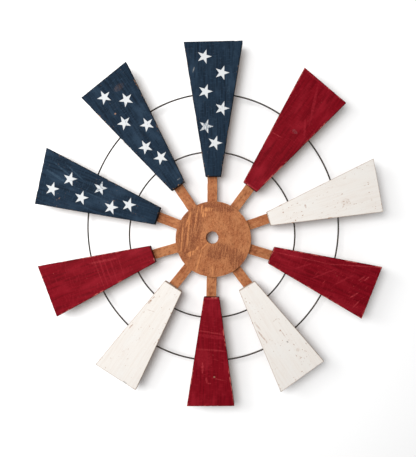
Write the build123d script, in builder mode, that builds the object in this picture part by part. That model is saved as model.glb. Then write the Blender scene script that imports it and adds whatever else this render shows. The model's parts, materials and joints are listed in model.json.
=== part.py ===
from build123d import *
from collections import namedtuple
from math import cos, radians, sin, tan
import os

# Ten-blade wall windmill, 0.59 m across and 0.61 m high, in millimetres.
#
# Frame: the origin is the centre of the hub's bore, on the hub's back face, which lies on the wall.
# +X is to the right seen from the front, +Z is up, and the front faces -Y.
# A "standoff" is a distance out from the wall, along -Y.
#
# The wheel was put together by hand from boards sawn by eye. The sizes below are the pattern that every
# arm starts from, and the cutting list says how far each arm's own spoke and blade differ from it.

os.makedirs("parts", exist_ok=True)

# Hub: two plywood discs with the spokes held between them
bore_diameter = 21.0
hub_front_diameter = 128.0
hub_front_thickness = 8.0
hub_back_diameter = 118.0
hub_back_thickness = 12.0
disc_off_bore = (1.8, -2.6)      # the discs' middle from the bore's, across and up
disc_edge_break = 0.5

# Spokes: flat slats
spoke_width = 17.0
spoke_thickness = 9.0
spoke_inner_radius = 32.0
spoke_overrun = 12.0             # length beyond the outer ring's highest point
spoke_edge_break = 0.4

# Blades: tapered boards, widest at the tip
blade_length = 197.0
blade_tip_width = 91.0
blade_root_width = 29.0
blade_thickness = 14.0
blade_root_radius = 102.0
blade_edge_break = 0.6

# Wire rings, let into kerfs across the blades' backs and held there by the spokes
wire_diameter = 2.6
kerf_clearance = 0.2
Ring = namedtuple("Ring", "name half_width half_height across up")
RINGS = [
    Ring("ring_inner", 141.0, 141.0, -1.6, 5.0),
    Ring("ring_outer", 213.5, 227.0, -1.7, 18.5),
]

# Countersunk wood screws, all driven from behind
screw_shank_diameter = 3.5
screw_head_diameter = 7.0
screw_tip_length = 3.0
screw_hole_clearance = 0.1
hub_screw_radius = 48.0
hub_screw_bite = 5.0             # into the front disc
blade_screw_bite = 9.0           # into the blade
blade_screw_from_root = 16.0
blade_screw_radius = 160.0

# Hanger: a strap with a rolled eye on the top spoke's back, and the ring that swings in it
strap_width = 10.0
strap_thickness = 1.2
strap_length = 31.0
eye_radius_from_hub = 205.0
hanger_wire_diameter = 2.0
hanger_pin_clearance = 0.08
hanger_ring_width = 15.0
hanger_ring_side = 4.0
hanger_ring_corner = 2.0
hanger_screw_head_diameter = 5.4
hanger_screw_head_height = 1.5
head_edge_break = 0.3
hanger_screw_shank_diameter = 2.8
hanger_screw_length = 9.0
hanger_screws_from_eye = (18.5, 26.0)

# The cutting list, clockwise from the top. Each number is added to the pattern:
#   swing   the spoke's angle, in degrees anticlockwise of its even place
#   lean    the blade's own turn on the spoke, in degrees anticlockwise
#   side    the blade's root, clockwise off the spoke's line
#   root    the radius at which the blade starts
#   length, tip_width, root_width   the board's own sizes
#   slant   the tip's saw cut, in degrees off square
Arm = namedtuple("Arm", "name swing lean side root length tip_width root_width slant")
ARMS = [
    Arm("top", 0, 0, 2, 1, 31, 9, -3, 0),
    Arm("upper_right", -1, 0.5, 0, 4, 13, 0, -1, -5),
    Arm("right_upper", 1, -2, 1, -2, -9, -2, -5, -7),
    Arm("right_lower", 1, -3.5, -1, 1, -21, 1, 1, -1),
    Arm("lower_right", 1, -5.5, 2, -2, -22, -3, 2, 5),
    Arm("bottom", -1, 0.5, -1, -2, -15, -11, -3, 2),
    Arm("lower_left", -3, 6.5, -1, 3, -14, -10, 5, 1),
    Arm("left_lower", -2, 3.5, 1, 2, -4, 2, 1, 2),
    Arm("left_upper", -3, 2, 1, -3, 17, 7, 2, 7),
    Arm("upper_left", -2, 1, 1, 2, 26, 7, -2, 3),
]

# Layers, counted out from the wall
spoke_back = hub_back_thickness
spoke_front = spoke_back + spoke_thickness
spoke_outer_radius = RINGS[-1].up + RINGS[-1].half_height + spoke_overrun
hub_screw_length = spoke_front + hub_screw_bite
blade_screw_length = spoke_thickness + blade_screw_bite
hole_radius = screw_shank_diameter / 2 + screw_hole_clearance
sink_radius = screw_head_diameter / 2 + screw_hole_clearance
hanger_hole_radius = hanger_screw_shank_diameter / 2 + screw_hole_clearance


def wall_plane(standoff):
    """The plane parallel to the wall, seen from the front."""
    return Plane.XZ.offset(standoff)


def spoke_angle(arm):
    return 90 - ARMS.index(arm) * 360 / len(ARMS) + arm.swing


def on_spoke(arm, radius, standoff, outward=-1):
    """The plane at a radius along the arm's spoke: x along the spoke, z out to the front (or, at 1, back)."""
    angle = radians(spoke_angle(arm))
    return Plane(
        origin=(radius * cos(angle), -standoff, radius * sin(angle)),
        x_dir=(cos(angle), 0, sin(angle)),
        z_dir=(0, outward, 0),
    )


def from_behind(arm, radius, standoff):
    return on_spoke(arm, radius, standoff, outward=1)


def blade_screw_radii(arm):
    return (blade_root_radius + arm.root + blade_screw_from_root, blade_screw_radius)


def wood_screw(length, shank_diameter, head_diameter, head_height=0.0):
    """A screw with its point down -Z: countersunk with its head at z = 0, or raised by head_height."""
    shank = shank_diameter / 2
    head = head_diameter / 2
    recess_reach = head_diameter / 2
    recess_slot = head_diameter / 8
    recess_depth = head_diameter / 6
    if head_height:
        shoulder = head_height - head_edge_break
        head_profile = [(0, head_height), (head - head_edge_break, head_height), (head, shoulder), (head, 0)]
        head_profile.append((shank, 0))
    else:
        head_profile = [(0, 0), (head, 0), (shank, shank - head)]
    with BuildPart() as screw:
        with BuildSketch(Plane.XZ):
            with BuildLine():
                Polyline(*head_profile, (shank, screw_tip_length - length), (0, -length), close=True)
            make_face()
        revolve(axis=Axis.Z)
        with BuildSketch(Plane.XY.offset(head_height)):
            Rectangle(recess_reach, recess_slot)
            Rectangle(recess_slot, recess_reach)
        extrude(amount=-recess_depth, mode=Mode.SUBTRACT)
    return screw.part


def hub_disc(name, diameter, thickness, standoff, hole_depth, countersink):
    """A disc with the bore and one screw hole for each spoke, drilled from behind."""
    with BuildPart() as disc:
        with BuildSketch(wall_plane(standoff)):
            with Locations(disc_off_bore):
                Circle(diameter / 2)
            Circle(bore_diameter / 2, mode=Mode.SUBTRACT)
        extrude(amount=thickness)
        rims = disc.edges().filter_by(GeomType.CIRCLE).sort_by(SortBy.RADIUS)[-2:]
        chamfer(rims, disc_edge_break)
        with Locations(*[from_behind(arm, hub_screw_radius, standoff) for arm in ARMS]):
            if countersink:
                CounterSinkHole(hole_radius, sink_radius, hole_depth, counter_sink_angle=90)
            else:
                Hole(hole_radius, hole_depth)
    disc.part.label = name
    export_step(disc.part, f"parts/{name}.step")


def spoke(arm):
    length = spoke_outer_radius - spoke_inner_radius
    with BuildPart() as slat:
        with BuildSketch(on_spoke(arm, spoke_inner_radius, spoke_back)):
            Rectangle(length, spoke_width, align=(Align.MIN, Align.CENTER))
        extrude(amount=spoke_thickness)
        chamfer(slat.edges().filter_by(lambda edge: edge.length > length / 2), spoke_edge_break)
        with Locations(from_behind(arm, hub_screw_radius, spoke_back)):
            Hole(hole_radius, spoke_thickness)
        with Locations(*[from_behind(arm, radius, spoke_back) for radius in blade_screw_radii(arm)]):
            CounterSinkHole(hole_radius, sink_radius, spoke_thickness, counter_sink_angle=90)
        if arm is ARMS[0]:
            with Locations(*hanger_screw_places()):
                Hole(hanger_hole_radius, hanger_screw_length)
    slat.part.label = f"spoke_{arm.name}"
    export_step(slat.part, f"parts/spoke_{arm.name}.step")


def blade_plane(arm):
    """The plane of the blade's back: x along the blade from its root, y anticlockwise."""
    along = radians(spoke_angle(arm) + arm.lean)
    foot = on_spoke(arm, blade_root_radius + arm.root, spoke_front)
    return Plane(
        origin=foot.from_local_coords((0, -arm.side, 0)),
        x_dir=(cos(along), 0, sin(along)),
        z_dir=(0, -1, 0),
    )


def blade(arm):
    length = blade_length + arm.length
    half_root = (blade_root_width + arm.root_width) / 2
    half_tip = (blade_tip_width + arm.tip_width) / 2
    slant = half_tip * tan(radians(arm.slant))
    kerf = wire_diameter / 2 + kerf_clearance
    with BuildPart() as board:
        with BuildSketch(blade_plane(arm)):
            with BuildLine():
                Polyline(
                    (0, -half_root),
                    (length + slant, -half_tip),
                    (length - slant, half_tip),
                    (0, half_root),
                    close=True,
                )
            make_face()
        extrude(amount=blade_thickness)
        chamfer(board.edges(), blade_edge_break)
        for ring in RINGS:
            with BuildSketch(wall_plane(spoke_front)):
                with Locations((ring.across, ring.up)):
                    Ellipse(ring.half_width + kerf, ring.half_height + kerf)
                    Ellipse(ring.half_width - kerf, ring.half_height - kerf, mode=Mode.SUBTRACT)
            extrude(amount=2 * kerf, mode=Mode.SUBTRACT)
        with Locations(*[from_behind(arm, radius, spoke_front) for radius in blade_screw_radii(arm)]):
            Hole(hole_radius, blade_screw_bite)
    board.part.label = f"blade_{arm.name}"
    export_step(board.part, f"parts/blade_{arm.name}.step")


def wire_ring(ring):
    """A closed loop of wire that rests on the spokes' fronts."""
    with BuildPart() as hoop:
        with BuildLine(wall_plane(spoke_front + wire_diameter / 2)) as path:
            EllipticalCenterArc((ring.across, ring.up), ring.half_width, ring.half_height, arc_size=360)
        with BuildSketch(Plane(path.line @ 0, z_dir=path.line % 0)):
            Circle(wire_diameter / 2)
        sweep(path=path.line)
    hoop.part.label = ring.name
    export_step(hoop.part, f"parts/{ring.name}.step")


def hanger_screw_places():
    strap_back = spoke_back - strap_thickness
    return [from_behind(ARMS[0], eye_radius_from_hub - drop, strap_back) for drop in hanger_screws_from_eye]


def screw_group(name, screw, places):
    with BuildPart() as group:
        with Locations(*places):
            add(screw)
    group.part.label = name
    export_step(group.part, f"parts/{name}.step")


def hanger_strap():
    """A strip along the spoke's back whose upper end is rolled into an eye for the ring's straight side."""
    pin = hanger_wire_diameter / 2 + hanger_pin_clearance
    eye = pin + strap_thickness
    with BuildPart() as strap:
        with BuildSketch(Plane.YZ.offset(-strap_width / 2)):
            with Locations((-spoke_back, eye_radius_from_hub)):
                Rectangle(strap_thickness, strap_length, align=(Align.MIN, Align.MAX))
            with Locations((eye - spoke_back, eye_radius_from_hub)):
                Circle(eye)
                Circle(pin, mode=Mode.SUBTRACT)
        extrude(amount=strap_width)
        with Locations(*hanger_screw_places()):
            Hole(hanger_hole_radius, strap_thickness)
    strap.part.label = "hanger_strap"
    export_step(strap.part, "parts/hanger_strap.step")


def hanger_ring():
    """A D of wire, hanging down from the strap's eye."""
    wire = hanger_wire_diameter / 2
    half = hanger_ring_width / 2 - wire
    standoff = spoke_back - wire - hanger_pin_clearance - strap_thickness
    with BuildPart() as ring:
        with BuildLine(wall_plane(standoff)) as path:
            top = eye_radius_from_hub
            Line((0, top), (half - hanger_ring_corner, top))
            JernArc((half - hanger_ring_corner, top), (1, 0), hanger_ring_corner, -90)
            Line((half, top - hanger_ring_corner), (half, top - hanger_ring_side))
            ThreePointArc(
                (half, top - hanger_ring_side),
                (0, top - hanger_ring_side - half),
                (-half, top - hanger_ring_side),
            )
            Line((-half, top - hanger_ring_side), (-half, top - hanger_ring_corner))
            JernArc((-half, top - hanger_ring_corner), (0, 1), hanger_ring_corner, -90)
            Line((hanger_ring_corner - half, top), (0, top))
        with BuildSketch(Plane(path.line @ 0, z_dir=path.line % 0)):
            Circle(wire)
        sweep(path=path.line)
    ring.part.label = "hanger_ring"
    export_step(ring.part, "parts/hanger_ring.step")


hub_disc("hub_back", hub_back_diameter, hub_back_thickness, 0, hub_back_thickness, True)
hub_disc("hub_front", hub_front_diameter, hub_front_thickness, spoke_front, hub_screw_bite, False)

for arm in ARMS:
    spoke(arm)
    blade(arm)

for ring in RINGS:
    wire_ring(ring)

screw_group(
    "hub_screws",
    wood_screw(hub_screw_length, screw_shank_diameter, screw_head_diameter),
    [from_behind(arm, hub_screw_radius, 0) for arm in ARMS],
)
screw_group(
    "blade_screws",
    wood_screw(blade_screw_length, screw_shank_diameter, screw_head_diameter),
    [from_behind(arm, radius, spoke_back) for arm in ARMS for radius in blade_screw_radii(arm)],
)
screw_group(
    "hanger_screws",
    wood_screw(
        hanger_screw_length,
        hanger_screw_shank_diameter,
        hanger_screw_head_diameter,
        hanger_screw_head_height,
    ),
    hanger_screw_places(),
)
hanger_strap()
hanger_ring()
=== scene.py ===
import json
from collections import namedtuple
from itertools import product
from math import atan, cos, pi, radians, sin

import bmesh
import bpy
import numpy as np
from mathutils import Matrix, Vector, geometry


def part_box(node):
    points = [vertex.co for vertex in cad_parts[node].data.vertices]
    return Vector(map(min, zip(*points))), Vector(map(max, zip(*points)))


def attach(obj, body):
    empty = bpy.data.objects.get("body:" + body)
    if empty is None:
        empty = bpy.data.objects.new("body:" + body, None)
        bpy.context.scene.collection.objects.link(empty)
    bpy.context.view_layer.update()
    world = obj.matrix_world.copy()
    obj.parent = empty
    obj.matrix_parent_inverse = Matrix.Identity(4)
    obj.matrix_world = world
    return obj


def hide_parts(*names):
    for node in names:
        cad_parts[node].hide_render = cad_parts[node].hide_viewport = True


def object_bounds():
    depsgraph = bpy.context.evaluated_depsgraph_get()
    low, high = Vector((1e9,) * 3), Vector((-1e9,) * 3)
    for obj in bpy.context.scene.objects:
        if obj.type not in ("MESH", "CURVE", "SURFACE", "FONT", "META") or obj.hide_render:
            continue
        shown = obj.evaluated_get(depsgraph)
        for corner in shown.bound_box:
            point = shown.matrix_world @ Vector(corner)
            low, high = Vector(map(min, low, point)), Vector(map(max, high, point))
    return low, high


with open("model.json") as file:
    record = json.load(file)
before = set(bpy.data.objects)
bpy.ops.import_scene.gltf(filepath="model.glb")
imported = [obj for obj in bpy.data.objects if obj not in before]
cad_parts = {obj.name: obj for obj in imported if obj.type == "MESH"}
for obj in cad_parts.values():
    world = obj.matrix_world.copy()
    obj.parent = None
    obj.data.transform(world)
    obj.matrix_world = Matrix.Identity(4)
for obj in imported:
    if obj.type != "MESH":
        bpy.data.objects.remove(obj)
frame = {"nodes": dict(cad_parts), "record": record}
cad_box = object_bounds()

# Looks of the ten-blade wall windmill, in metres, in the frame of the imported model: the front faces -Y,
# +Z is up, and the hub's back face is at y = 0. Every wooden piece is a finer copy of its CAD node, cut
# into a grid of small faces, worn at its edges and given its own grain. The wire, screws and hanger stay
# as packed.
#
# Each finer copy carries three measures for its material: "board", the place across, along and into the
# board; "edge", the distance in from the nearest edge; and "depth", the distance back from the front.

MM = 0.001
SLOT = {part["node"]: part["material_slot"] for part in frame["record"]["subparts"]}
BLADES = [node for node in SLOT if node.startswith("blade_") and node != "blade_screws"]
SPOKES = [node for node in SLOT if node.startswith("spoke_")]
HUB_LOW, HUB_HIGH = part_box("hub_front")
HUB_RADIUS = (HUB_HIGH.x - HUB_LOW.x) / 2
BLADE_LOW, BLADE_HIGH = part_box(BLADES[0])
BLADE_THICKNESS = BLADE_HIGH.y - BLADE_LOW.y
FRONT_Y = cad_box[0][1]
WALL_Y = 0.001                   # just clear of the hub's back face

# ---------------------------------------------------------------- camera

VIEW_DISTANCE = 0.800            # from the blades' fronts
VIEW_HEIGHT = 0.7655             # what the frame takes in at that distance
CAMERA_ACROSS_UP = (0.040, 0.008)
AIM_ACROSS_UP = (-0.0065, 0.0153)


def add_camera():
    """A near camera, a little to the right of the hub and aimed just left of it."""
    camera = bpy.data.objects.new("camera", bpy.data.cameras.new("camera"))
    bpy.context.scene.collection.objects.link(camera)
    camera.data.sensor_fit = "VERTICAL"
    camera.data.angle_y = 2 * atan(VIEW_HEIGHT / 2 / VIEW_DISTANCE)
    place = Vector((CAMERA_ACROSS_UP[0], FRONT_Y - VIEW_DISTANCE, CAMERA_ACROSS_UP[1]))
    aim = Vector((AIM_ACROSS_UP[0], FRONT_Y, AIM_ACROSS_UP[1]))
    camera.location = place
    camera.rotation_euler = (aim - place).to_track_quat("-Z", "Y").to_euler()
    bpy.context.scene.camera = camera


# ---------------------------------------------------------------- light levels and colour

# A level is the brightness that a light alone gives a white wall at the hub.
KEY_PLACE = (-0.30, -1.25, 0.20)
KEY_SIZE = 0.72
KEY_LEVEL = 0.76
SIDE_PLACE = (-1.00, -0.95, 0.40)
SIDE_SIZE = 0.80
SIDE_LEVEL = 0.27
FILL_LEVEL = 0.40
LIGHT_LEVEL = KEY_LEVEL + SIDE_LEVEL + FILL_LEVEL
LEAST_COLOUR = 0.0008


def linear(level):
    """The light behind a display level from 0 to 1, by the sRGB curve."""
    return level / 12.92 if level < 0.04045 else ((level + 0.055) / 1.055) ** 2.4


def seen_as(red, green, blue):
    """The surface colour that shows as this display colour, 0 to 255, under this scene's lights."""
    lit = [linear(level / 255) / LIGHT_LEVEL for level in (red, green, blue)]
    return (*(max(level, LEAST_COLOUR) for level in lit), 1.0)


# ---------------------------------------------------------------- node materials

# Noise over the wood: how many cells to the metre across, along and into the board, then the noise's
# detail and roughness.
PATTERNS = {
    "ragged": (900, 260, 900, 4, 0.5),
    "paint_grain": (380, 20, 380, 5, 0.66),
    "paint_cloud": (46, 20, 46, 3, 0.55),
    "paint_weave": (130, 480, 130, 2, 0.5),
    "paint_speckle": (520, 330, 520, 3, 0.6),
    "scratch_lines": (70, 620, 200, 4, 0.65),
    "scratch_areas": (22, 30, 24, 2, 0.5),
    "rub": (300, 150, 300, 3, 0.6),
    "rub_areas": (70, 26, 20, 2, 0.5),
    "chips": (460, 210, 460, 3, 0.6),
    "chip_areas": (60, 30, 60, 1, 0.5),
    "star_dab": (480, 140, 480, 4, 0.65),
    "stain_grain": (330, 22, 330, 5, 0.64),
    "stain_cloud": (60, 38, 60, 4, 0.6),
    "stain_mottle": (330, 210, 330, 4, 0.66),
    "stain_pores": (620, 120, 620, 3, 0.5),
    "stain_rub": (220, 80, 220, 3, 0.5),
    "hub_fibres": (460, 50, 460, 4, 0.6),
    "hub_specks": (620, 400, 620, 3, 0.6),
    "hub_flecks": (1100, 700, 1100, 2, 0.6),
}
NOISE_MIDDLE = 0.5
PATCH_FRAY = 1.1
PATCH_EDGE = (1.25, 0.85)


class Finish:
    """A material put together from nodes, with short calls for what the surfaces here need."""

    def __init__(self, name):
        self.material = bpy.data.materials.new(name)
        self.material.use_nodes = True
        self.nodes = self.material.node_tree.nodes
        self.links = self.material.node_tree.links
        self.shader = self.nodes["Principled BSDF"]

    def feed(self, socket, value):
        if isinstance(value, bpy.types.NodeSocket):
            self.links.new(value, socket)
        else:
            socket.default_value = value

    def surface(self, **values):
        """Feeds the shader's own sockets; an underscore in a name stands for a space."""
        for name, value in values.items():
            self.feed(self.shader.inputs[name.replace("_", " ")], value)

    def add(self, kind, inputs, output=0, **settings):
        node = self.nodes.new(kind)
        for name, setting in settings.items():
            setattr(node, name, setting)
        for key, value in inputs.items():
            self.feed(node.inputs[key], value)
        return node.outputs[output]

    def attribute(self, name, output="Fac"):
        return self.add("ShaderNodeAttribute", {}, output, attribute_name=name)

    def math(self, operation, first, second=0.0):
        return self.add("ShaderNodeMath", {0: first, 1: second}, operation=operation)

    def times(self, first, second):
        return self.math("MULTIPLY", first, second)

    def frayed(self, distance, ragged, amount):
        return self.math("ADD", distance, self.times(ragged, amount))

    def stretch(self, vector, across, along, deep):
        factors = (across, along, deep)
        return self.add("ShaderNodeVectorMath", {0: vector, 1: factors}, operation="MULTIPLY")

    def turned(self, vector, degrees):
        inputs = {"Vector": vector, "Angle": radians(degrees)}
        return self.add("ShaderNodeVectorRotate", inputs, rotation_type="Z_AXIS")

    def around(self, board, across, along, turn):
        """The place on the board from a point on it, along axes turned by so many degrees anticlockwise."""
        centre = (across, along, 0)
        centred = self.add("ShaderNodeVectorMath", {0: board, 1: centre}, operation="SUBTRACT")
        return self.turned(centred, -turn)

    def noise(self, vector, scale, detail, roughness=0.5):
        inputs = {"Vector": vector, "Scale": scale, "Detail": detail, "Roughness": roughness}
        return self.add("ShaderNodeTexNoise", inputs)

    def pattern(self, name, board):
        across, along, deep, detail, roughness = PATTERNS[name]
        return self.noise(self.stretch(board, across, along, deep), 1.0, detail, roughness)

    def step(self, value, low, high):
        """0 up to low, 1 from high, and smooth between them; the other way round if low is above high."""
        inputs = {"Value": value, "From Min": low, "From Max": high}
        if low > high:
            inputs = {"Value": value, "From Min": high, "From Max": low, "To Min": 1.0, "To Max": 0.0}
        return self.add("ShaderNodeMapRange", inputs, interpolation_type="SMOOTHSTEP")

    def spread(self, value, low, high):
        """A value from 0 to 1 spread evenly from low to high."""
        return self.add("ShaderNodeMapRange", {"Value": value, "To Min": low, "To Max": high})

    def mix(self, share, first, second):
        inputs = {0: share, 6: first, 7: second}
        return self.add("ShaderNodeMix", inputs, 2, data_type="RGBA")

    def bump(self, height, distance, strength):
        inputs = {"Height": height, "Distance": distance, "Strength": strength}
        return self.add("ShaderNodeBump", inputs)

    def patch(self, board, across, along, half_across, half_along, turn, ragged):
        """1 inside an ellipse on a board, with a ragged edge; turn is in degrees anticlockwise."""
        near = self.stretch(self.around(board, across, along, turn), 1 / half_across, 1 / half_along, 0)
        distance = self.add("ShaderNodeVectorMath", {0: near}, "Value", operation="LENGTH")
        return self.step(self.frayed(distance, ragged, PATCH_FRAY), *PATCH_EDGE)


def ragged_noise(finish, board):
    """Noise about zero, coarse along the grain, that frays the edges of marks."""
    return finish.math("SUBTRACT", finish.pattern("ragged", board), NOISE_MIDDLE)


# A layer of colour over the wood follows a pattern: it starts to show at one value of the noise and is
# full at the other.
Layer = namedtuple("Layer", "pattern starts full strength colour")


def covered(finish, colour, noises, layers, look, strength=1.0):
    """A colour with layers laid over it in turn, each in the look's colour of that name."""
    for layer in layers:
        share = finish.step(noises[layer.pattern], layer.starts, layer.full)
        share = finish.times(share, strength * layer.strength)
        colour = finish.mix(share, colour, look[layer.colour])
    return colour


# ---------------------------------------------------------------- painted boards

# What each paint looks like on wood: its body, the darker and lighter streaks in it, what a scratch
# shows, the line along its edges (paint pooled there, and painted shade of the rounded edge), the sides
# of the board (a darker tint that is painted shade), and what is under it where it has worn off.
# Wear and chips are values of their noises: the lower they are, the more paint has gone.
PAINTS = {
    "blue_paint": {
        "body": seen_as(33, 50, 67),
        "dark": seen_as(20, 32, 45),
        "light": seen_as(50, 69, 88),
        "scratch": seen_as(92, 104, 114),
        "outline": seen_as(20, 28, 36),
        "side": seen_as(24, 32, 40),
        "under": seen_as(150, 116, 92),
        "pool_and_shade_share": 0.75,
        "streaks": 0.85,
        "wear": 0.54,
        "chips": 0.69,
        "scratches": 0.16,
        "roughness": 0.62,
    },
    "red_paint": {
        "body": seen_as(132, 10, 26),
        "dark": seen_as(106, 2, 17),
        "light": seen_as(156, 28, 42),
        "scratch": seen_as(184, 54, 60),
        "outline": seen_as(92, 10, 18),
        "side": seen_as(84, 10, 18),
        "under": seen_as(202, 104, 96),
        "pool_and_shade_share": 0.45,
        "streaks": 0.8,
        "wear": 0.46,
        "chips": 0.71,
        "scratches": 0.30,
        "roughness": 0.5,
    },
    "white_paint": {
        "body": seen_as(255, 249, 242),
        "dark": seen_as(248, 238, 229),
        "light": seen_as(255, 252, 247),
        "scratch": seen_as(222, 208, 196),
        "outline": seen_as(198, 172, 150),
        "side": seen_as(206, 182, 160),
        "under": seen_as(186, 142, 112),
        "pool_and_shade_share": 0.55,
        "streaks": 0.6,
        "wear": 0.57,
        "chips": 0.655,
        "scratches": 0.06,
        "roughness": 0.7,
    },
}
PAINT_LAYERS = [
    Layer("paint_grain", 0.54, 0.38, 1.0, "dark"),
    Layer("paint_cloud", 0.46, 0.74, 1.0, "light"),
    Layer("paint_grain", 0.58, 0.72, 0.8, "light"),
    Layer("paint_weave", 0.54, 0.70, 0.6, "light"),
    Layer("paint_speckle", 0.40, 0.28, 1.0, "dark"),
]
PAINT_GLOSS = 0.035
PAINT_BUMP = 0.2 * MM
PAINT_BUMP_STRENGTH = 0.6
SMOOTHER_BY = 0.10               # the paint's roughness goes this far below its middle value,
ROUGHER_BY = 0.12                # and this far above it

# How much each thing stands out in the paint's relief, as a share of the bump.
GRAIN_RISE = 0.5
WEAVE_RISE = 0.3
BARE_FALL = 0.7
SCRATCH_FALL = 0.4

# Scratches run this many degrees anticlockwise of straight across the board, and some boards have their
# own turn and strength.
SCRATCH_TURN = 10
SCRATCHED_BOARDS = {
    "blade_right_lower": (-27, 0.95),
    "blade_bottom": (-8, 0.45),
    "blade_left_lower": (3, 0.5),
}
SCRATCH_LINES = (0.59, 0.68)
SCRATCH_AREAS = (0.47, 0.60)

# Edges: the dark outline on the face (pooled paint and painted shade), the rubbed arrises, the sides
# (a darker tint, painted shade) and the bare back.
POOL_AND_SHADE_FRAY = 1.2 * MM
POOL_AND_SHADE_REACH = (1.5 * MM, 0.5 * MM)
RUB_SOFTNESS = 0.08
RUB_AREAS = (0.42, 0.58)
RUB_REACH = 1.9 * MM
RUB_BORDER = (0.1 * MM, -0.3 * MM)
CHIP_SOFTNESS = 0.04
CHIP_AREAS = (0.46, 0.56)
# Painted shade on the board's sides: a darker tint of the paint from this depth back (on the white boards
# also the tan of thin paint).
SHADED_SIDE_FRAY = 1.0 * MM
SHADED_SIDE_STARTS = (0.9 * MM, 1.8 * MM)
SHADED_SIDE_STRENGTH = 0.85
BACK_FRAY = 1.5 * MM
BACK_STARTS = (BLADE_THICKNESS - 1.0 * MM, BLADE_THICKNESS - 0.3 * MM)
BACK_GRAIN = (0.40, 0.65)
BARE_BACK = seen_as(206, 166, 124)
BARE_BACK_DARK = seen_as(166, 124, 88)
FACE_ENDS = (2.0 * MM, 1.0 * MM)


def scratch_share(finish, node, board, look):
    """Fine lines across the board, gathered in some areas of it."""
    turn, strength = SCRATCHED_BOARDS.get(node, (SCRATCH_TURN, look["scratches"]))
    way = finish.turned(board, -turn)
    lines = finish.step(finish.pattern("scratch_lines", way), *SCRATCH_LINES)
    areas = finish.step(finish.pattern("scratch_areas", way), *SCRATCH_AREAS)
    return finish.times(finish.times(lines, areas), strength)


def bare_share(finish, board, edge, look):
    """Where the paint has gone: rubbed off along the edges, and chipped off in places."""
    rub = finish.step(finish.pattern("rub", board), look["wear"], look["wear"] + RUB_SOFTNESS)
    rub_areas = finish.step(finish.pattern("rub_areas", board), *RUB_AREAS)
    reach = finish.times(finish.times(rub, rub_areas), RUB_REACH)
    rubbed = finish.step(finish.math("SUBTRACT", edge, reach), *RUB_BORDER)
    chips = finish.step(finish.pattern("chips", board), look["chips"], look["chips"] + CHIP_SOFTNESS)
    chip_areas = finish.step(finish.pattern("chip_areas", board), *CHIP_AREAS)
    return finish.math("MAXIMUM", rubbed, finish.times(chips, chip_areas))


def paint_relief(finish, noises, bare, scratches):
    """The paint's height: raised by its grain and weave, and lower where it is bare or scratched."""
    height = finish.math(
        "ADD",
        finish.times(noises["paint_grain"], GRAIN_RISE),
        finish.times(noises["paint_weave"], WEAVE_RISE),
    )
    height = finish.math("SUBTRACT", height, finish.times(bare, BARE_FALL))
    return finish.math("SUBTRACT", height, finish.times(scratches, SCRATCH_FALL))


def paint_blade(node):
    """Old paint on a board: streaks of the brush and grain, scratches, chips, rubbed edges and marks, with
    painted shade along the face's edges and on the sides.
    """
    look = PAINTS[SLOT[node]]
    finish = Finish(f"{SLOT[node]}_{node}")
    board = finish.attribute("board", "Vector")
    edge = finish.attribute("edge")
    depth = finish.attribute("depth")
    ragged = ragged_noise(finish, board)
    noises = {layer.pattern: finish.pattern(layer.pattern, board) for layer in PAINT_LAYERS}

    colour = covered(finish, look["body"], noises, PAINT_LAYERS, look, look["streaks"])
    scratches = scratch_share(finish, node, board, look)
    colour = finish.mix(scratches, colour, look["scratch"])
    # The outline is pooled paint and painted shade of the rounded edge: a darker band just in from the
    # face's edges.
    outline = finish.step(finish.frayed(edge, ragged, POOL_AND_SHADE_FRAY), *POOL_AND_SHADE_REACH)
    colour = finish.mix(finish.times(outline, look["pool_and_shade_share"]), colour, look["outline"])
    # The sides take a darker tint: painted shade of the sides; on the white boards also the tan of thin
    # paint.
    side = finish.step(finish.frayed(depth, ragged, SHADED_SIDE_FRAY), *SHADED_SIDE_STARTS)
    colour = finish.mix(finish.times(side, SHADED_SIDE_STRENGTH), colour, look["side"])
    bare = bare_share(finish, board, edge, look)
    colour = finish.mix(bare, colour, look["under"])
    back = finish.step(finish.frayed(depth, ragged, BACK_FRAY), *BACK_STARTS)
    back_grain = finish.step(noises["paint_grain"], *BACK_GRAIN)
    colour = finish.mix(back, colour, finish.mix(back_grain, BARE_BACK_DARK, BARE_BACK))
    face = finish.step(depth, *FACE_ENDS)
    colour = marked(finish, colour, node, board, ragged, noises["paint_speckle"], face)
    if node in STARS:
        colour = stencilled(finish, colour, node, board, ragged, face)

    height = paint_relief(finish, noises, bare, scratches)
    finish.surface(
        Base_Color=colour,
        Normal=finish.bump(height, PAINT_BUMP, PAINT_BUMP_STRENGTH),
        Roughness=finish.spread(
            noises["paint_grain"], look["roughness"] - SMOOTHER_BY, look["roughness"] + ROUGHER_BY
        ),
        Specular_IOR_Level=PAINT_GLOSS,
    )
    return finish.material


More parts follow.
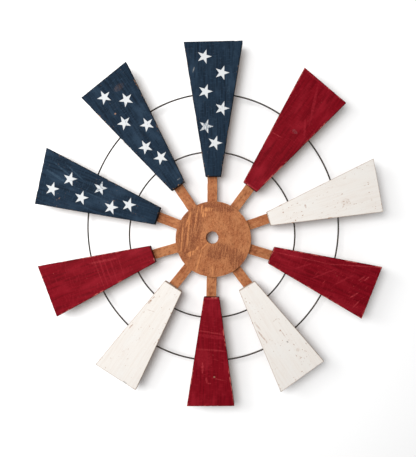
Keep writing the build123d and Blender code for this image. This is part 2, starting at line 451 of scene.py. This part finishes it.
# Marks that only one blade has, in millimetres from the middle of its root: across to the clockwise side,
# along to the tip, half sizes across and along, turn in degrees anticlockwise, colour and strength.
BROWN = seen_as(184, 142, 116)
PALE_BROWN = seen_as(226, 208, 194)
# Painted shade standing for a small hole in the face.
HOLE_SHADE = seen_as(70, 54, 46)
RUBBED_RED = seen_as(158, 34, 46)
PALE_RED = seen_as(192, 64, 70)
GREY_SCUFF = seen_as(136, 70, 76)
DARK_BLUE = seen_as(30, 43, 56)
PALE_BLUE = seen_as(150, 150, 148)
RUBBED_BLUE = seen_as(62, 82, 100)
MARKS = {
    "blade_top": [
        (-33, 180, 0.9, 4.5, -16, PALE_BLUE, 0.9),
        (-2, 188, 30, 9, 0, DARK_BLUE, 0.4),
        (0, 150, 30, 6, 0, DARK_BLUE, 0.35),
        (26, 145, 2.2, 7, 0, RUBBED_BLUE, 0.5),
    ],
    "blade_upper_right": [
        (4, 172, 2.2, 32, 24, RUBBED_RED, 0.75),
        (15, 132, 1.8, 15, 34, RUBBED_RED, 0.8),
        (-16, 208, 26, 1.2, -4, RUBBED_RED, 0.6),
        (5, 118, 5, 2.6, 0, GREY_SCUFF, 0.7),
        (-17, 96, 10, 0.8, 6, PALE_RED, 0.5),
        (0, 2, 13, 1.2, 0, PALE_RED, 0.55),
    ],
    "blade_right_upper": [
        (12, 131, 1.8, 1.3, 20, BROWN, 0.8),
        (9, 126, 1.0, 2.2, 0, BROWN, 0.7),
        (14, 125, 1.4, 1.0, 0, BROWN, 0.7),
        (8, 134, 1.0, 1.2, 0, BROWN, 0.6),
        (15, 135, 0.8, 1.6, 0, BROWN, 0.6),
        (11, 129, 6, 7, 0, PALE_BROWN, 0.35),
        (-2, 64, 3.4, 1.4, 0, BROWN, 0.6),
        (-3, 26, 1.2, 1.2, 0, BROWN, 0.7),
        (-8, 27, 0.9, 1.0, 0, BROWN, 0.6),
        (20, 170, 2.0, 1.0, 0, PALE_BROWN, 0.8),
    ],
    "blade_right_lower": [
        (-13.5, 48, 0.9, 48, 8, PALE_RED, 0.45),
        (-32, 134, 0.9, 40, 17, PALE_RED, 0.5),
        (-19, 160, 5, 1.2, -30, PALE_RED, 0.8),
        (-16, 152, 6, 0.9, -36, PALE_RED, 0.8),
        (14, 150, 8, 1.2, -38, PALE_RED, 0.75),
        (27, 158, 8, 1.0, -24, PALE_RED, 0.6),
        (-4, 126, 18, 1.4, -42, RUBBED_RED, 0.8),
        (-2, 92, 20, 1.4, -48, RUBBED_RED, 0.8),
        (-2, 56, 14, 1.2, -52, RUBBED_RED, 0.8),
    ],
    "blade_lower_right": [
        # a small hole, drawn as painted shade
        (-9, 113, 1.1, 1.5, 0, HOLE_SHADE, 1.0),
        (-8.5, 91, 1.7, 1.1, 0, BROWN, 0.9),
        (-4, 167, 1.2, 0.9, 0, BROWN, 0.7),
        (-14, 147, 3.0, 0.6, 4, BROWN, 0.6),
        (-10, 98, 0.6, 8, 4, BROWN, 0.45),
        (-10, 72, 5, 0.6, 8, BROWN, 0.5),
        (-17, 133, 2.6, 3, -20, PALE_BROWN, 0.7),
        (22, 84, 1.2, 12, 8, BROWN, 0.7),
        (20, 66, 1.2, 8, 8, BROWN, 0.5),
    ],
    "blade_bottom": [
        (0, 59, 24, 1.2, -8, PALE_RED, 0.5),
        (-2, 66, 26, 3, -6, RUBBED_RED, 0.7),
        (6, 88, 30, 1.4, -3, PALE_RED, 0.4),
        (12, 104, 12, 16, 0, RUBBED_RED, 0.55),
        (14, 118, 1.4, 9, 0, PALE_RED, 0.7),
        (7, 139, 1.6, 4.5, 12, PALE_RED, 0.55),
        (2, 144, 2.6, 1.2, 0, PALE_RED, 0.5),
        (-6, 133, 1.4, 1.2, 0, BROWN, 0.9),
        (-14, 137, 12, 0.8, -10, PALE_RED, 0.5),
        (0, 190, 34, 0.7, -12, RUBBED_RED, 0.8),
        (0, 2.5, 12, 1.4, 0, PALE_RED, 0.45),
    ],
    "blade_lower_left": [
        (19.5, 43, 1.6, 4.4, -9, BROWN, 0.95),
        (18, 34, 1.0, 2.6, -9, BROWN, 0.9),
        (10, 55, 7, 0.5, 16, BROWN, 0.5),
        (24, 96, 0.9, 5, -9, BROWN, 0.8),
        (24, 160, 1.2, 1.0, 0, BROWN, 0.6),
    ],
    "blade_left_lower": [
        (0, 90, 27, 1.6, 1, RUBBED_RED, 0.75),
        (0, 82, 27, 1.2, 2, RUBBED_RED, 0.7),
        (2, 72, 24, 1.2, 0, RUBBED_RED, 0.65),
        (0, 98, 30, 0.8, 3, PALE_RED, 0.3),
        (0, 58, 22, 1.0, -1, RUBBED_RED, 0.6),
        (17, 84, 2.0, 22, -8, PALE_RED, 0.4),
    ],
    "blade_left_upper": [
        (-26, 170, 1.6, 0.8, -20, BROWN, 0.7),
        (8, 186, 2.0, 22, -14, RUBBED_BLUE, 0.8),
        (20, 174, 1.4, 26, -20, RUBBED_BLUE, 0.7),
        (24, 158, 1.2, 20, -24, RUBBED_BLUE, 0.6),
        (-2, 120, 1.2, 30, -6, RUBBED_BLUE, 0.5),
    ],
    "blade_upper_left": [
        (-17, 163, 1.6, 1.4, 0, BROWN, 0.8),
        (8, 9, 3.0, 0.8, 0, PALE_BLUE, 0.8),
        (14, 196, 9, 5, 0, BROWN, 0.10),
    ],
}
MARK_SPECKLE = (0.42, 0.58)
MARK_THINNEST = 0.35


def marked(finish, colour, node, board, ragged, speckle, face):
    """The blade's own marks on its face, broken up by the paint's speckle."""
    broken = finish.spread(finish.step(speckle, *MARK_SPECKLE), MARK_THINNEST, 1.0)
    for across, along, half_across, half_along, turn, mark, strength in MARKS[node]:
        place = (across * MM, along * MM, half_across * MM, half_along * MM)
        shape = finish.times(finish.patch(board, *place, turn, ragged), face)
        shape = finish.times(shape, broken)
        colour = finish.mix(finish.times(shape, strength), colour, mark)
    return colour


# Stars on the blue blades: across and along in millimetres, as above, then how faded each one is.
STARS = {
    "blade_top": [
        (-15, 202, 0), (15, 174, 0), (-13, 143, 0), (15, 114, 0.4), (-12, 84, 1), (3, 56, 0),
    ],
    "blade_left_upper": [
        (-15, 187, 0.2), (11, 163, 0), (-13, 134, 0), (13, 108, 0.7), (-12, 80, 0), (2, 52.5, 0),
    ],
    "blade_upper_left": [
        (-16, 197, 0), (12, 171.5, 0), (-13, 141, 0.2), (17, 116, 0), (-7, 86, 0.2), (4, 56.5, 0),
    ],
}
STAR_TURN = {"blade_top": 0, "blade_left_upper": 2, "blade_upper_left": 12}
STAR_POINTS = 5
STAR_RADIUS = 12.6 * MM
STAR_NOTCH = 0.385               # the notches' radius as a share of the points'
STAR_COLOUR = seen_as(233, 235, 236)
STAR_THIN_COLOUR = seen_as(138, 149, 160)
STAR_FRAY = 0.8 * MM
STAR_EDGE = (0.25 * MM, -0.25 * MM)
STAR_THIN = (0.58, 0.76)
STAR_FADE = 0.17                 # what a fully faded star adds to the noise that thins it


def star_outline(finish, board, across, along, turn):
    """Distance to a star's outline, below zero inside; at no turn, one point aims clockwise.

    The star is folded onto the sector between a point and the notch next to it, where its outline is one
    straight side.
    """
    sector = pi / STAR_POINTS
    notch_near = STAR_NOTCH * STAR_RADIUS * cos(sector)
    notch_aside = STAR_NOTCH * STAR_RADIUS * sin(sector)
    side = Vector((notch_aside, STAR_RADIUS - notch_near)).normalized()
    flat = finish.stretch(finish.around(board, across, along, turn), 1, 1, 0)
    radius = finish.add("ShaderNodeVectorMath", {0: flat}, "Value", operation="LENGTH")
    level = finish.add("ShaderNodeSeparateXYZ", {0: flat}, "Y")
    plumb = finish.add("ShaderNodeSeparateXYZ", {0: flat}, "X")
    angle = finish.math("PINGPONG", finish.math("ARCTAN2", level, plumb), sector)
    near = finish.times(radius, finish.math("COSINE", angle))
    aside = finish.times(radius, finish.math("SINE", angle))
    near = finish.times(finish.math("SUBTRACT", near, STAR_RADIUS), side.x)
    return finish.math("ADD", near, finish.times(aside, side.y))


def stencilled(finish, colour, node, board, ragged, face):
    """White stars dabbed through a stencil: solid in the middle, thin where the brush ran dry."""
    dab = finish.pattern("star_dab", board)
    fray = finish.times(ragged, STAR_FRAY)
    for across, along, faded in STARS[node]:
        outline = star_outline(finish, board, across * MM, along * MM, STAR_TURN[node])
        inside = finish.step(finish.math("ADD", outline, fray), *STAR_EDGE)
        thin = finish.step(finish.math("ADD", dab, STAR_FADE * faded), *STAR_THIN)
        paint = finish.mix(thin, STAR_COLOUR, STAR_THIN_COLOUR)
        colour = finish.mix(finish.times(inside, face), colour, paint)
    return colour


# ---------------------------------------------------------------- stained wood

STAIN = {
    "body": seen_as(183, 112, 72),
    "dark": seen_as(138, 76, 44),
    "light": seen_as(206, 138, 92),
    "torn": seen_as(224, 148, 94),
    "red": seen_as(128, 70, 46),
    # the pores' dark colour, also used as painted shade inside the hub's torn places
    "pore": seen_as(88, 50, 32),
}
PORE_LEVELS = (0.60, 0.68)
STAIN_LAYERS = [
    Layer("stain_grain", 0.30, 0.54, 1.0, "body"),
    Layer("stain_cloud", 0.40, 0.62, 0.8, "light"),
    Layer("stain_mottle", 0.52, 0.66, 0.9, "light"),
    Layer("stain_mottle", 0.47, 0.33, 0.85, "dark"),
    Layer("stain_pores", *PORE_LEVELS, 0.6, "pore"),
]
PORE_FALL = 0.36
RIM_REACH = 1.6 * MM
RIM_BORDER = (0.5 * MM, 0.0)
RIM_STRENGTH = 0.5
STAIN_ROUGHNESS = (0.55, 0.78)
STAIN_GLOSS = 0.08
SPOKE_BUMP = 0.25 * MM
HUB_BUMP = 0.35 * MM
STAIN_BUMP_STRENGTH = 0.8


def stained_wood(name):
    """Orange-brown stained softwood: long grain, short dark pores and a lighter rubbed rim."""
    finish = Finish(name)
    board = finish.attribute("board", "Vector")
    edge = finish.attribute("edge")
    noises = {layer.pattern: finish.pattern(layer.pattern, board) for layer in STAIN_LAYERS}
    colour = covered(finish, STAIN["dark"], noises, STAIN_LAYERS, STAIN)
    reach = finish.times(finish.pattern("stain_rub", board), RIM_REACH)
    rim = finish.step(finish.math("SUBTRACT", edge, reach), *RIM_BORDER)
    colour = finish.mix(finish.times(rim, RIM_STRENGTH), colour, STAIN["torn"])
    pores = finish.step(noises["stain_pores"], *PORE_LEVELS)
    height = finish.math("SUBTRACT", noises["stain_grain"], finish.times(pores, PORE_FALL))
    finish.surface(
        Roughness=finish.spread(noises["stain_grain"], *STAIN_ROUGHNESS),
        Specular_IOR_Level=STAIN_GLOSS,
    )
    return finish, board, colour, height


def spoke_wood():
    """Plain stained wood, for the spokes and the back disc."""
    finish, _, colour, height = stained_wood("stained_wood_spokes")
    finish.surface(Base_Color=colour, Normal=finish.bump(height, SPOKE_BUMP, STAIN_BUMP_STRENGTH))
    return finish.material


# Places on the hub, in shares of its radius: across and along the grain, half sizes across and along,
# and turn in degrees.
HUB_PLACES = {
    "dark": [
        (-0.66, 0.16, 0.30, 0.80, 0),
        (-0.10, 0.86, 0.55, 0.12, 0),
        (0.20, -0.30, 0.30, 0.22, 20),
        (0.70, -0.46, 0.20, 0.30, 30),
    ],
    "dust": [
        (0.0, 0.36, 0.26, 0.20, 0),
        (-0.26, 0.02, 0.10, 0.14, 0),
        (0.30, 0.0, 0.12, 0.10, 0),
    ],
    "lines": [
        (-0.30, -0.66, 0.018, 0.28, -8),
        (-0.68, 0.18, 0.025, 0.48, 2),
        (-0.82, -0.10, 0.022, 0.34, 4),
        (-0.72, 0.42, 0.030, 0.20, -14),
        (-0.52, 0.50, 0.018, 0.30, -3),
        (-0.16, -0.16, 0.016, 0.22, -34),
        (0.10, -0.82, 0.014, 0.12, 10),
    ],
    "tears": [
        (-0.38, 0.70, 0.04, 0.15, 10),
        (-0.26, 0.76, 0.13, 0.05, 8),
        (-0.32, 0.60, 0.07, 0.05, 30),
        (-0.50, -0.44, 0.13, 0.05, 24),
        (-0.57, -0.49, 0.06, 0.06, 0),
        (-0.40, -0.34, 0.03, 0.10, -20),
    ],
}
HUB_WASH = 0.10                  # how far the whole hub is washed with the dark stain
LINE_SPECKS = (0.34, 0.50)
HUB_LAYERS = [
    ("dark", Layer("hub_fibres", 0.66, 0.42, 0.85, "red")),
    ("dust", Layer("hub_specks", 0.52, 0.66, 0.80, "torn")),
    ("everywhere", Layer("hub_flecks", 0.55, 0.66, 0.75, "torn")),
    ("everywhere", Layer("hub_flecks", 0.45, 0.34, 0.45, "red")),
    ("lines", Layer("hub_specks", *LINE_SPECKS, 0.80, "torn")),
    ("tears", Layer("hub_fibres", 0.36, 0.56, 1.00, "torn")),
    # painted shade inside the torn places, in the pores' dark colour
    ("tears", Layer("hub_fibres", 0.40, 0.30, 0.60, "pore")),
]
TEAR_FALL = 0.8
LINE_RISE = 0.5


def hub_place(finish, board, ragged, places):
    """1 where any of these places on the hub is, 0 elsewhere."""
    total = 0.0
    for *shares, turn in places:
        sizes = [share * HUB_RADIUS for share in shares]
        total = finish.math("MAXIMUM", finish.patch(board, *sizes, turn, ragged), total)
    return total


def hub_wood():
    """The front disc's veneer: darker down its left third, with pale lines and torn places that have
    painted shade inside them.
    """
    finish, board, colour, height = stained_wood("stained_wood_hub")
    ragged = ragged_noise(finish, board)
    noises = {layer.pattern: finish.pattern(layer.pattern, board) for _, layer in HUB_LAYERS}
    masks = {name: hub_place(finish, board, ragged, places) for name, places in HUB_PLACES.items()}
    masks["everywhere"] = 1.0
    colour = finish.mix(HUB_WASH, colour, STAIN["dark"])
    for name, layer in HUB_LAYERS:
        share = finish.times(masks[name], finish.step(noises[layer.pattern], layer.starts, layer.full))
        colour = finish.mix(finish.times(share, layer.strength), colour, STAIN[layer.colour])
    height = finish.math("SUBTRACT", height, finish.times(masks["tears"], TEAR_FALL))
    lines = finish.times(masks["lines"], finish.step(noises["hub_specks"], *LINE_SPECKS))
    height = finish.math("ADD", height, finish.times(lines, LINE_RISE))
    finish.surface(Base_Color=colour, Normal=finish.bump(height, HUB_BUMP, STAIN_BUMP_STRENGTH))
    return finish.material


# ---------------------------------------------------------------- metals

# Patches is how many stained patches there are to the metre.
Metal = namedtuple("Metal", "colour stain roughness patches metallic")
METALS = {
    "ring_wire": Metal(seen_as(48, 41, 36), seen_as(72, 55, 43), 0.50, 60, 0.30),
    "screw_steel": Metal(seen_as(190, 188, 180), seen_as(140, 134, 122), 0.30, 250, 0.85),
    "hanger_steel": Metal(seen_as(176, 164, 140), seen_as(120, 110, 92), 0.32, 250, 0.85),
}
PATCH_DETAIL = 5
PATCH_ROUGHNESS = 0.65
PATCH_LEVELS = (0.42, 0.66)
PITS_PER_PATCH = 9
PIT_DETAIL = 2
PIT_BUMP = 0.08 * MM
PIT_BUMP_STRENGTH = 0.6
STAINED_ROUGHER_BY = 0.3


def metal(name):
    """Drawn steel with duller stained patches and a finely pitted skin."""
    look = METALS[name]
    finish = Finish(name)
    place = finish.add("ShaderNodeTexCoord", {}, "Object")
    patches = finish.noise(place, look.patches, PATCH_DETAIL, PATCH_ROUGHNESS)
    pits = finish.noise(place, look.patches * PITS_PER_PATCH, PIT_DETAIL)
    finish.surface(
        Base_Color=finish.mix(finish.step(patches, *PATCH_LEVELS), look.colour, look.stain),
        Roughness=finish.spread(patches, look.roughness, look.roughness + STAINED_ROUGHER_BY),
        Normal=finish.bump(pits, PIT_BUMP, PIT_BUMP_STRENGTH),
        Metallic=look.metallic,
    )
    return finish.material


# ---------------------------------------------------------------- finer copies of the wooden nodes

BOARD_SIDES = 4
LATTICE_SIZE = 4096
LATTICE_PRIMES = np.array([73856093, 19349663, 83492791])
FLAT_CORNER = 0.05 * MM          # a corner that stands out by less than this isn't a board's own
SAME_POINT = 1e-6
ON_PLANE = 1e-7
SHARP_ANGLE = radians(25)
GRID_ACROSS = 1.6 * MM
GRID_ALONG = 4.0 * MM
HUB_GRID = 1.6 * MM
HUB_GRAIN_TILT = 8.0             # degrees that the veneer's grain leans clockwise of upright
SEED_STEP = 0.37                 # metres into the noise between one board's grain and the next
SIDE_BAND = 0.2 * MM             # points nearer to the outline than this are on the board's sides
SIDE_SHARE = 0.35                # how far in from the edge a point on a side counts, per depth

# How a piece is worn, in millimetres where it is a size. Its surface lies sunk in, with waves along the
# grain; knocks dent a band along its edges wherever their noise is above a least value. Waves, fine waves
# and knocks are each given in cells to the metre across, along and into the board. The plywood discs are
# smoother than the sawn boards and have no fine waves.
Wear = namedtuple("Wear", "sunk waves wave_size fine fine_size knocks knock_seed band least knock_size")
BOARD_WEAR = Wear(
    sunk=0.07,
    waves=(420, 24, 420),
    wave_size=0.05,
    fine=(900, 60, 900),
    fine_size=0.02,
    knocks=(130, 110, 130),
    knock_seed=2,
    band=2.5,
    least=0.25,
    knock_size=0.9,
)
HUB_WEAR = BOARD_WEAR._replace(
    sunk=0.06,
    waves=(420, 30, 420),
    fine_size=0.0,
    knocks=(120, 120, 120),
    knock_seed=10,
    band=2.0,
    least=0.3,
    knock_size=0.7,
)
BOARD_SEED = 100
HUB_SEED = 300


def smooth_noise(points, per_metre, seed):
    """Noise from -1 to 1 at each point: random values on a lattice with per_metre cells along each axis."""
    values = np.random.default_rng(seed).uniform(-1, 1, LATTICE_SIZE)
    scaled = points * np.array(per_metre)
    cell = np.floor(scaled).astype(np.int64)
    share = scaled - cell
    share = share * share * (3 - 2 * share)      # eased, so that no cell's border shows
    total = np.zeros(len(points))
    for corner in product((0, 1), repeat=3):
        weight = np.where(corner, share, 1 - share).prod(axis=1)
        index = ((cell + corner) * LATTICE_PRIMES).sum(axis=1) % LATTICE_SIZE
        total += weight * values[index]
    return total


def without_flat_corners(loop, least):
    """A closed outline without the points that stand out from it by less than least."""
    while True:
        standing_out = []
        for before, here, after in zip(loop[-1:] + loop[:-1], loop, loop[1:] + loop[:1]):
            chord = after - before
            standing_out.append(abs((here - before).cross(chord)) / chord.length)
        flattest = min(standing_out)
        if flattest > least:
            return loop
        loop.pop(standing_out.index(flattest))


def outline_corners(mesh):
    """Where the four long sides of a board meet in the XZ plane, as if its corners were sharp."""
    points = [Vector((vertex.co.x, vertex.co.z)) for vertex in mesh.vertices]
    loop = [points[index] for index in geometry.convex_hull_2d(points)]
    loop = without_flat_corners(loop, FLAT_CORNER)
    sides = list(zip(loop, loop[1:] + loop[:1]))
    shortest_kept = sorted((end - start).length for start, end in sides)[-BOARD_SIDES]
    sides = [(start, end) for start, end in sides if (end - start).length >= shortest_kept]
    corners = []
    for before, after in zip(sides[-1:] + sides[:-1], sides):
        run_before = before[1] - before[0]
        run_after = after[1] - after[0]
        share = (after[0] - before[0]).cross(run_after) / run_before.cross(run_after)
        corners.append(before[0] + run_before * share)
    return corners


class Board:
    """A board's place: the middle of its root, the way along it, and its four sides."""

    def __init__(self, mesh):
        corners = outline_corners(mesh)
        self.sides = list(zip(corners, corners[1:] + corners[:1]))
        middles = [(start + end) / 2 for start, end in self.sides]
        root_side = min(range(BOARD_SIDES), key=lambda index: middles[index].length)
        tip = middles[root_side - BOARD_SIDES // 2]
        self.root = middles[root_side]
        self.length = (tip - self.root).length
        self.along = (tip - self.root).normalized()
        self.across = Vector((self.along.y, -self.along.x))

    def place(self, points):
        """Each point's distance across (to the clockwise side) and along the board."""
        flat = points[:, [0, 2]] - np.array(self.root)
        return flat @ np.array(self.across), flat @ np.array(self.along)

    def from_sides(self, points):
        """Each point's distance in from the nearest side."""
        flat = points[:, [0, 2]]
        centre = np.mean([np.array(start) for start, _ in self.sides], axis=0)
        nearest = np.full(len(points), np.inf)
        for start, end in self.sides:
            run = np.array(end - start)
            normal = np.array((run[1], -run[0])) / np.linalg.norm(run)
            inward = np.sign((centre - np.array(start)) @ normal)
            nearest = np.minimum(nearest, (flat - np.array(start)) @ normal * inward)
        return nearest


def slice_up(mesh, origin, direction, spacing, reach):
    """Cuts every face along planes at an even spacing, so that the surface has vertices to move."""
    work = bmesh.new()
    work.from_mesh(mesh)
    bmesh.ops.remove_doubles(work, verts=work.verts, dist=SAME_POINT)
    normals = [Vector((direction.x, 0, direction.y)), Vector((-direction.y, 0, direction.x))]
    start = Vector((origin.x, 0, origin.y))
    for normal, gap in zip(normals, spacing):
        for number in range(-int(reach / gap), int(reach / gap) + 1):
            place = start + normal * (number + 0.5) * gap
            everything = work.verts[:] + work.edges[:] + work.faces[:]
            bmesh.ops.bisect_plane(work, geom=everything, plane_co=place, plane_no=normal, dist=ON_PLANE)
    for face in work.faces:
        face.smooth = True
    for edge in work.edges:
        edge.smooth = len(edge.link_faces) == 2 and edge.calc_face_angle(0) < SHARP_ANGLE
    work.to_mesh(mesh)
    work.free()


def fine_copy(node):
    """A new object with the CAD node's own mesh, to cut up and wear."""
    mesh = frame["nodes"][node].data.copy()
    mesh.materials.clear()
    piece = bpy.data.objects.new(node + "_wood", mesh)
    bpy.context.scene.collection.objects.link(piece)
    return piece


def vertex_vectors(mesh, name):
    """The vertices' places ("co") or directions ("normal")."""
    vectors = np.zeros(len(mesh.vertices) * 3)
    mesh.vertices.foreach_get(name, vectors)
    return vectors.reshape(-1, 3)


def write_numbers(mesh, name, values):
    layer = mesh.attributes.new(name, "FLOAT", "POINT")
    layer.data.foreach_set("value", values.astype(np.float32))


def write_vectors(mesh, name, values):
    layer = mesh.attributes.new(name, "FLOAT_VECTOR", "POINT")
    layer.data.foreach_set("vector", values.astype(np.float32).ravel())


def worn_depths(board, edge, wear, seed):
    """How deep each point is worn: hand-sawn waves over the faces, and knocks along the edges."""
    waves = wear.wave_size * smooth_noise(board, wear.waves, seed)
    fine = wear.fine_size * smooth_noise(board, wear.fine, seed + 1)
    near = np.clip(1 - edge / (wear.band * MM), 0, 1)
    knocks = np.clip(smooth_noise(board, wear.knocks, seed + wear.knock_seed) - wear.least, 0, 1)
    return (wear.sunk + waves + fine) * MM + near * knocks * wear.knock_size * MM


def sink(mesh, depths):
    """Moves each vertex inwards by its own depth, so the piece never grows past its CAD node."""
    moved = vertex_vectors(mesh, "co") - vertex_vectors(mesh, "normal") * depths[:, None]
    mesh.vertices.foreach_set("co", moved.ravel())
    mesh.update()


def stand_for(piece, node, material):
    piece.data.materials.append(material)
    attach(piece, "wheel")
    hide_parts(node)


def wooden_board(node, index, material):
    """A weathered copy of a blade or a spoke, standing for its CAD node."""
    piece = fine_copy(node)
    mesh = piece.data
    place = Board(mesh)
    slice_up(mesh, place.root, place.across, (GRID_ACROSS, GRID_ALONG), place.length + 2 * GRID_ALONG)
    points = vertex_vectors(mesh, "co")
    across, along = place.place(points)
    depth = points[:, 1] - points[:, 1].min()
    edge = place.from_sides(points)
    board = np.column_stack((across, along, depth + index * SEED_STEP))
    write_vectors(mesh, "board", board)
    write_numbers(mesh, "edge", np.abs(edge) + SIDE_SHARE * depth * (edge < SIDE_BAND))
    write_numbers(mesh, "depth", depth)
    sink(mesh, worn_depths(board, edge, BOARD_WEAR, BOARD_SEED + index))
    stand_for(piece, node, material)


def wooden_disc(node, index, material):
    """A weathered copy of one of the hub's discs, standing for its CAD node."""
    piece = fine_copy(node)
    mesh = piece.data
    low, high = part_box(node)
    centre = (low + high) / 2
    radius = (high.x - low.x) / 2
    tilt = radians(HUB_GRAIN_TILT)
    middle = Vector((centre.x, centre.z))
    slice_up(mesh, middle, Vector((cos(tilt), -sin(tilt))), (HUB_GRID, HUB_GRID), radius)
    points = vertex_vectors(mesh, "co")
    right = points[:, 0] - centre.x
    up = points[:, 2] - centre.z
    across = right * cos(tilt) - up * sin(tilt)
    along = right * sin(tilt) + up * cos(tilt)
    depth = points[:, 1] - points[:, 1].min()
    edge = np.abs(radius - np.hypot(right, up))
    board = np.column_stack((across, along, depth + index * SEED_STEP))
    write_vectors(mesh, "board", board)
    write_numbers(mesh, "edge", edge)
    write_numbers(mesh, "depth", depth)
    sink(mesh, worn_depths(board, edge, HUB_WEAR, HUB_SEED + index))
    stand_for(piece, node, material)


# ---------------------------------------------------------------- stage

WALL_SIZE = 3.0
WALL_SHADE = (0.955, 0.965)
WALL_ROUGHNESS = 0.9
PLASTER_PER_METRE = 60
PLASTER_DETAIL = 4
WHITE = (1, 1, 1, 1)


def wall_finish():
    """Matt white plaster that can't be seen from behind."""
    finish = Finish("wall")
    place = finish.add("ShaderNodeTexCoord", {}, "Object")
    plaster = finish.noise(place, PLASTER_PER_METRE, PLASTER_DETAIL)
    finish.surface(
        Base_Color=finish.spread(plaster, *WALL_SHADE),
        Roughness=WALL_ROUGHNESS,
        Specular_IOR_Level=0.0,
    )
    behind = finish.add("ShaderNodeNewGeometry", {}, "Backfacing")
    clear = finish.add("ShaderNodeBsdfTransparent", {})
    shown = finish.add("ShaderNodeMixShader", {0: behind, 1: finish.shader.outputs[0], 2: clear})
    finish.feed(finish.nodes["Material Output"].inputs["Surface"], shown)
    return finish.material


def add_wall():
    """A wall that shows only its front, so that the wheel can be seen from behind as well."""
    mesh = bpy.data.meshes.new("wall")
    half = WALL_SIZE / 2
    corners = [(-half, WALL_Y, -half), (half, WALL_Y, -half), (half, WALL_Y, half), (-half, WALL_Y, half)]
    mesh.from_pydata(corners, [], [(0, 1, 2, 3)])
    mesh.materials.append(wall_finish())
    wall = bpy.data.objects.new("wall", mesh)
    bpy.context.scene.collection.objects.link(wall)
    # The wall takes no part in the wheel's own light, so it can't colour the wheel's back.
    wall.visible_shadow = False
    wall.visible_diffuse = False
    wall.visible_glossy = False


def add_light(name, place, size, level):
    """A round soft light aimed at the hub, as strong as its level there needs."""
    place = Vector(place)
    facing = -place.y / place.length
    light = bpy.data.lights.new(name, "AREA")
    light.shape = "DISK"
    light.size = size
    light.energy = level * (pi * place.length) ** 2 / facing
    lamp = bpy.data.objects.new(name, light)
    lamp.location = place
    lamp.rotation_euler = (-place).to_track_quat("-Z", "Y").to_euler()
    bpy.context.scene.collection.objects.link(lamp)


def add_world():
    """An even fill light all round, which the camera sees as plain white."""
    world = bpy.data.worlds.new("studio")
    bpy.context.scene.world = world
    world.use_nodes = True
    nodes = world.node_tree.nodes
    links = world.node_tree.links
    fill = nodes["Background"]
    fill.inputs["Color"].default_value = WHITE
    fill.inputs["Strength"].default_value = FILL_LEVEL
    seen = nodes.new("ShaderNodeBackground")
    seen.inputs["Color"].default_value = WHITE
    path = nodes.new("ShaderNodeLightPath")
    chooser = nodes.new("ShaderNodeMixShader")
    links.new(path.outputs["Is Camera Ray"], chooser.inputs[0])
    links.new(fill.outputs[0], chooser.inputs[1])
    links.new(seen.outputs[0], chooser.inputs[2])
    links.new(chooser.outputs[0], nodes["World Output"].inputs["Surface"])


# ---------------------------------------------------------------- build

add_camera()
add_world()
add_wall()
add_light("key", KEY_PLACE, KEY_SIZE, KEY_LEVEL)
add_light("side", SIDE_PLACE, SIDE_SIZE, SIDE_LEVEL)
bpy.context.scene.view_settings.view_transform = "Standard"

for index, node in enumerate(BLADES):
    wooden_board(node, index, paint_blade(node))
stain = spoke_wood()
for index, node in enumerate(SPOKES):
    wooden_board(node, len(BLADES) + index, stain)
wooden_disc("hub_front", 0, hub_wood())
wooden_disc("hub_back", 1, stain)

metals = {name: metal(name) for name in METALS}
for node, slot in SLOT.items():
    if slot in metals:
        frame["nodes"][node].data.materials.clear()
        frame["nodes"][node].data.materials.append(metals[slot])
